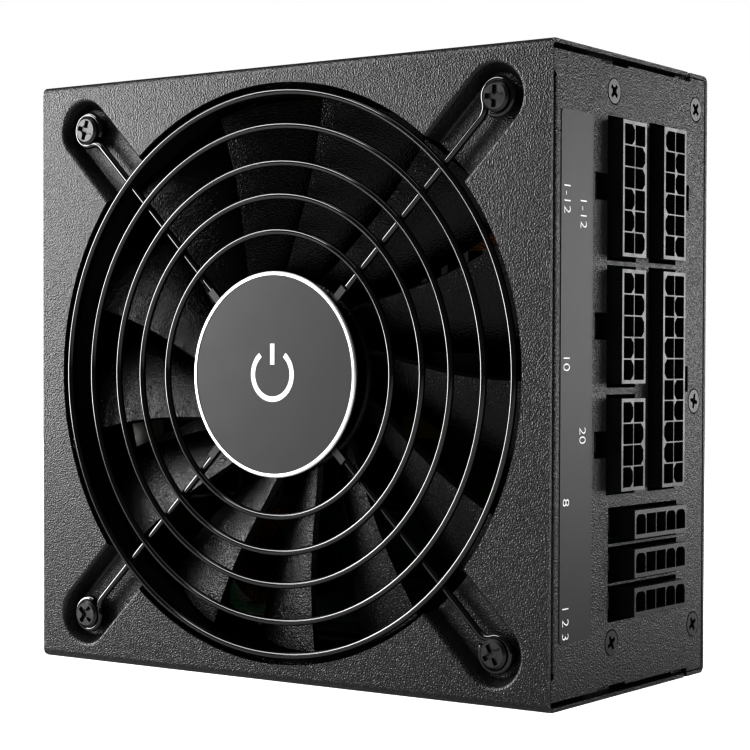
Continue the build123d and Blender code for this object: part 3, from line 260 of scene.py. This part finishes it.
def drawn_metal(name, colour, roughness, stretch=(1, 1, 0.05), depth=0.000006):
    """Rolled, drawn or ground metal with fine lines one way."""
    m = Finish(name, colour, roughness, 1.0)
    lines = m.noise(0.00025, 3.0, stretch)
    m.bump(lines, depth)
    m.tint(m.noise(size=0.003), shade(colour, 0.85), colour)
    m.rough(lines, 0.8 * roughness, 1.25 * roughness)
    return m.material


def black_oxide():
    """Screws: smooth dark oxide over steel."""
    m = Finish("black_oxide", grey(0.07), 0.36, 1.0)
    m.tint(m.noise(size=0.002), grey(0.065), grey(0.075))
    m.rough(m.noise(size=0.002), 0.34, 0.38)
    m.bump(m.noise(size=0.0002), depth=0.000002)
    return m.material


def satin_plate():
    """Dark anodised badge, almost featureless, with the finest matt grain."""
    m = Finish("satin_plate", grey(0.018), 0.43)
    m.bump(m.noise(size=0.0002), depth=0.000004)
    m.tint(m.noise(size=0.006), grey(0.017), grey(0.019))
    m.rough(m.noise(size=0.005), 0.38, 0.46)
    return m.material


def bright_trim():
    """Bright turned edge round the badge, with the faintest unevenness."""
    m = Finish("bright_trim", grey(0.7), 0.35, 0.6)
    m.tint(m.noise(size=0.003), grey(0.66), grey(0.72))
    m.rough(m.noise(size=0.002), 0.32, 0.38)
    return m.material


def label_film():
    """Satin dark label, even in gloss."""
    m = Finish("label_film", grey(0.012), 0.43)
    m.tint(m.noise(size=0.0004), grey(0.011), grey(0.013))
    m.rough(m.noise(size=0.0008), 0.42, 0.44)
    m.bump(m.noise(size=0.0002), depth=0.000003)
    return m.material


TRACKS_PER_METRE = 190
TURNS_PER_METRE = 330


def circuit_board():
    """Green solder mask over copper tracks, with paler pads."""
    m = Finish("circuit_board", (0.01, 0.06, 0.025), 0.35)
    brick = m.add("ShaderNodeTexBrick")
    brick.inputs["Scale"].default_value = TRACKS_PER_METRE
    brick.inputs["Mortar Size"].default_value = 0.09
    brick.inputs["Mortar Smooth"].default_value = 0.3
    brick.inputs["Color1"].default_value = (0.008, 0.055, 0.022, 1)
    brick.inputs["Color2"].default_value = (0.012, 0.075, 0.03, 1)
    brick.inputs["Mortar"].default_value = (0.03, 0.14, 0.05, 1)
    turn = m.add("ShaderNodeMapping")
    turn.inputs["Rotation"].default_value = (math.radians(90), 0, 0)
    m.link(m.place, turn.inputs["Vector"])
    m.link(turn.outputs["Vector"], brick.inputs["Vector"])
    m.link(brick.outputs["Color"], m.shader.inputs["Base Color"])
    m.bump(brick.outputs["Fac"], depth=0.00003)
    m.rough(m.noise(size=0.002), 0.28, 0.42)
    return m.material


def winding(name, colour):
    """Turns of enamelled wire laid side by side, with painted shade in the grooves between them.
    """
    m = Finish(name, colour, 0.25, 0.6)
    wave = m.add("ShaderNodeTexWave")
    wave.wave_type = "RINGS"
    wave.rings_direction = "SPHERICAL"
    wave.inputs["Scale"].default_value = TURNS_PER_METRE
    wave.inputs["Distortion"].default_value = 2.0
    m.link(m.place, wave.inputs["Vector"])
    m.bump(wave.outputs["Fac"], depth=0.0002)
    # painted shade: the base colour drops to 30% in the wave's low grooves between turns
    m.tint(wave.outputs["Fac"], shade(colour, 0.3), colour, 0.1, 0.6)
    return m.material


def sintered(name, colour, roughness):
    """Pressed ferrite or powder metal: speckled and porous."""
    m = Finish(name, colour, roughness)
    speck = m.noise(size=0.0003, detail=4.0)
    m.tint(speck, shade(colour, 0.6), shade(colour, 1.5))
    m.bump(speck, depth=0.00003)
    m.rough(m.noise(size=0.002), 0.85 * roughness, min(1, 1.15 * roughness))
    return m.material


def film(name, colour, roughness):
    """Thin wrapped or printed film with faint ripples."""
    m = Finish(name, colour, roughness)
    m.bump(m.noise(size=0.003, detail=1.0), depth=0.00003)
    m.tint(m.noise(size=0.0015, detail=3.0), shade(colour, 0.9), shade(colour, 1.1))
    m.rough(m.noise(size=0.002), 0.9 * roughness, 1.1 * roughness)
    return m.material


def paint_mark():
    """White screen print, a little uneven in cover."""
    m = Finish("white_print", grey(0.75), 0.5)
    m.tint(m.noise(size=0.0004, detail=3.0), grey(0.6), grey(0.85))
    return m.material


def give(material, *names):
    for name in names:
        mesh = nodes[name].data
        mesh.materials.clear()
        mesh.materials.append(material)


def paint():
    give(powder_coat(), "fan_cover", "base_shell")
    give(lacquer(), "fan_grille")
    give(drawn_metal("clip_steel", grey(0.06), 0.45), "badge_bracket")
    give(satin_plate(), "grille_badge")
    give(bright_trim(), "badge_ring")
    give(black_oxide(),
         "grille_screws", "cover_screws", "bracket_screws", "mains_cover_screws")
    give(blade_plastic(), "fan_frame", "fan_rotor")
    give(moulded("nylon", grey(0.012), 0.3, 0.000008),
         "socket_12_pin_left", "socket_12_pin_right", "socket_10_pin", "socket_8_pin",
         "socket_20_pin", "drive_socket_1", "drive_socket_2", "drive_socket_3")
    give(moulded("inlet_plastic", grey(0.012), 0.35), "ac_inlet", "switch_housing")
    give(moulded("rocker_plastic", grey(0.01), 0.18, 0.000004), "switch_rocker")
    give(label_film(), "port_label")
    give(drawn_metal("ground_steel", grey(0.6), 0.25, (1, 0.05, 1)), "rotor_shaft")
    give(sintered("bonded_magnet", (0.07, 0.065, 0.06), 0.6), "rotor_magnet")
    give(sintered("sintered_brass", (0.5, 0.36, 0.16), 0.45), "fan_bearing")
    give(drawn_metal("laminated_iron", grey(0.35), 0.45, (0.05, 4, 0.05), 0.00002), "fan_stator")
    give(drawn_metal("tinned_brass", (0.3, 0.285, 0.24), 0.35),
         "socket_pins", "inlet_blades", "switch_terminals")
    give(circuit_board(), "connector_board", "main_board", "control_board")
    give(drawn_metal("plated_bracket", (0.62, 0.62, 0.58), 0.32), "board_bracket")
    give(drawn_metal("turned_brass", (0.6, 0.45, 0.2), 0.25, (1, 1, 1)), "standoffs")
    give(drawn_metal("zinc_screw", (0.62, 0.62, 0.6), 0.3, (1, 1, 1)), "board_screws")
    give(film("insulating_film", (0.2, 0.195, 0.17), 0.45), "insulating_sheet")
    give(film("capacitor_sleeve", (0.012, 0.012, 0.03), 0.25),
         "bulk_capacitor", "output_capacitors")
    give(sintered("ferrite", (0.05, 0.05, 0.052), 0.55),
         "emi_choke_core", "pfc_choke_core", "output_choke_core", "transformer_core")
    give(winding("copper_wire", (0.5, 0.2, 0.06)),
         "emi_choke_winding", "pfc_choke_winding", "output_choke_winding")
    give(film("winding_tape", (0.3, 0.22, 0.02), 0.4), "transformer_winding")
    give(drawn_metal("heatsink_aluminium", grey(0.05), 0.5, (1, 0.05, 1)),
         "primary_heatsink", "secondary_heatsink")
    give(moulded("capacitor_case", (0.05, 0.045, 0.03), 0.4), "x_capacitors")
    give(moulded("wire_vinyl", grey(0.012), 0.4), "fan_lead", "mains_leads")


# ---------------------------------------------------------------- printed marks

def piece(name, mesh, material):
    thing = bpy.data.objects.new(name, mesh)
    bpy.context.scene.collection.objects.link(thing)
    mesh.materials.append(material)
    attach(thing, "case")


def extruded(outlines, place):
    """Closed prism over each outline; place turns an outline point and a height into space."""
    shape = bmesh.new()
    for outline in outlines:
        low = [shape.verts.new(place(u, v, 0)) for u, v in outline]
        high = [shape.verts.new(place(u, v, MARK_HEIGHT)) for u, v in outline]
        shape.faces.new(low)
        shape.faces.new(reversed(high))
        for k in range(len(outline)):
            n = (k + 1) % len(outline)
            shape.faces.new((low[n], low[k], high[k], high[n]))
    bmesh.ops.recalc_face_normals(shape, faces=shape.faces)
    mesh = bpy.data.meshes.new("marks")
    shape.to_mesh(mesh)
    shape.free()
    return mesh


MARK_HEIGHT = 0.05 * MM
SYMBOL_RADIUS = 5.0 * MM
SYMBOL_STROKE = 1.1 * MM
SYMBOL_GAP = math.radians(38)
SYMBOL_STEPS = 48
SYMBOL_BAR = (0.4 * SYMBOL_RADIUS, 1.25 * SYMBOL_RADIUS)


def power_symbol(material):
    """Open ring with a bar in its gap, on the badge's face."""
    low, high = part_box("grille_badge")
    centre_x, centre_z, face = (low[0] + high[0]) / 2, (low[2] + high[2]) / 2, low[1]
    inner, outer = SYMBOL_RADIUS - SYMBOL_STROKE / 2, SYMBOL_RADIUS + SYMBOL_STROKE / 2
    sweep = 2 * math.pi - 2 * SYMBOL_GAP
    angles = [math.pi / 2 + SYMBOL_GAP + sweep * k / SYMBOL_STEPS for k in range(SYMBOL_STEPS + 1)]
    ring = [(outer * math.cos(a), outer * math.sin(a)) for a in angles]
    ring += [(inner * math.cos(a), inner * math.sin(a)) for a in reversed(angles)]
    half = SYMBOL_STROKE / 2
    bottom, top = SYMBOL_BAR
    bar = [(-half, bottom), (half, bottom), (half, top), (-half, top)]
    mesh = extruded([ring, bar], lambda u, v, h: (centre_x + u, face - h, centre_z + v))
    piece("badge_symbol", mesh, material)


NUMERAL_SIZE = 3.4 * MM
STROKE_TRIM = 0.04 * MM
WELD_DISTANCE = MARK_HEIGHT / 50
# text, share of the label's width from its front edge, height over its lower end in mm
NUMERALS = (
    ("1-12", 0.17, 83.5),
    ("1-12", 0.68, 81.0),
    ("10", 0.17, 52.7),
    ("20", 0.68, 38.9),
    ("8", 0.17, 26.5),
    ("1 2 3", 0.17, 3.9),
)


def numerals(name, text, y, z, face, material):
    """Printed numbers on the label, read from the top down."""
    curve = bpy.data.curves.new(name, "FONT")
    curve.body = text
    curve.size = NUMERAL_SIZE
    curve.align_x = "CENTER"
    curve.align_y = "CENTER"
    curve.extrude = MARK_HEIGHT / 2
    curve.offset = -STROKE_TRIM
    source = bpy.data.objects.new(name, curve)
    mesh = bpy.data.meshes.new_from_object(source)
    bpy.data.objects.remove(source)
    shape = bmesh.new()
    shape.from_mesh(mesh)
    bmesh.ops.remove_doubles(shape, verts=shape.verts, dist=WELD_DISTANCE)
    bmesh.ops.recalc_face_normals(shape, faces=shape.faces)
    shape.to_mesh(mesh)
    shape.free()
    down_the_label = Matrix(((0, 0, 1), (0, 1, 0), (-1, 0, 0)))
    mesh.transform(Matrix.Translation((face, y, z)) @ down_the_label.to_4x4())
    piece(name, mesh, material)


def label_numbers(material):
    low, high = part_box("port_label")
    face = high[0] + MARK_HEIGHT / 2
    for index, (text, share, height) in enumerate(NUMERALS):
        y = low[1] + share * (high[1] - low[1])
        z = low[2] + height * MM
        numerals(f"label_number_{index + 1}", text, y, z, face, material)


def make_lights():
    """Big key on the left, one high over it for the wires, and two on the socket side."""
    softbox("key", place=(-0.74, -0.45, 0.23), target=(0, -0.03, 0.23),
            size=(0.50, 0.46), radiance=16.0)
    softbox("high", place=(-0.62, -0.58, 0.80), target=(0, -0.03, 0.06),
            size=(0.80, 0.45), radiance=10.0)
    softbox("side", place=(0.42, 0.62, 0.13), target=(0.065, 0, 0.13),
            size=(0.30, 0.26), radiance=7.0)
    softbox("rim", place=(0.75, 0.12, 0.12), target=(0.065, -0.03, 0.0625),
            size=(0.10, 0.5), radiance=30.0)
    softbox("top", place=(0.0, 0.0, 1.5), target=(0, 0, 0),
            size=(0.9, 0.9), radiance=3.0)


VIEW_GAMMA = 0.65

make_camera()
make_stage(shown=0.8, lighting=0.1)
make_world(shown=1.0, lighting=0.2)
make_lights()
bpy.context.scene.view_settings.view_transform = "Standard"
bpy.context.scene.view_settings.gamma = VIEW_GAMMA
paint()
white = paint_mark()
power_symbol(white)
label_numbers(white)
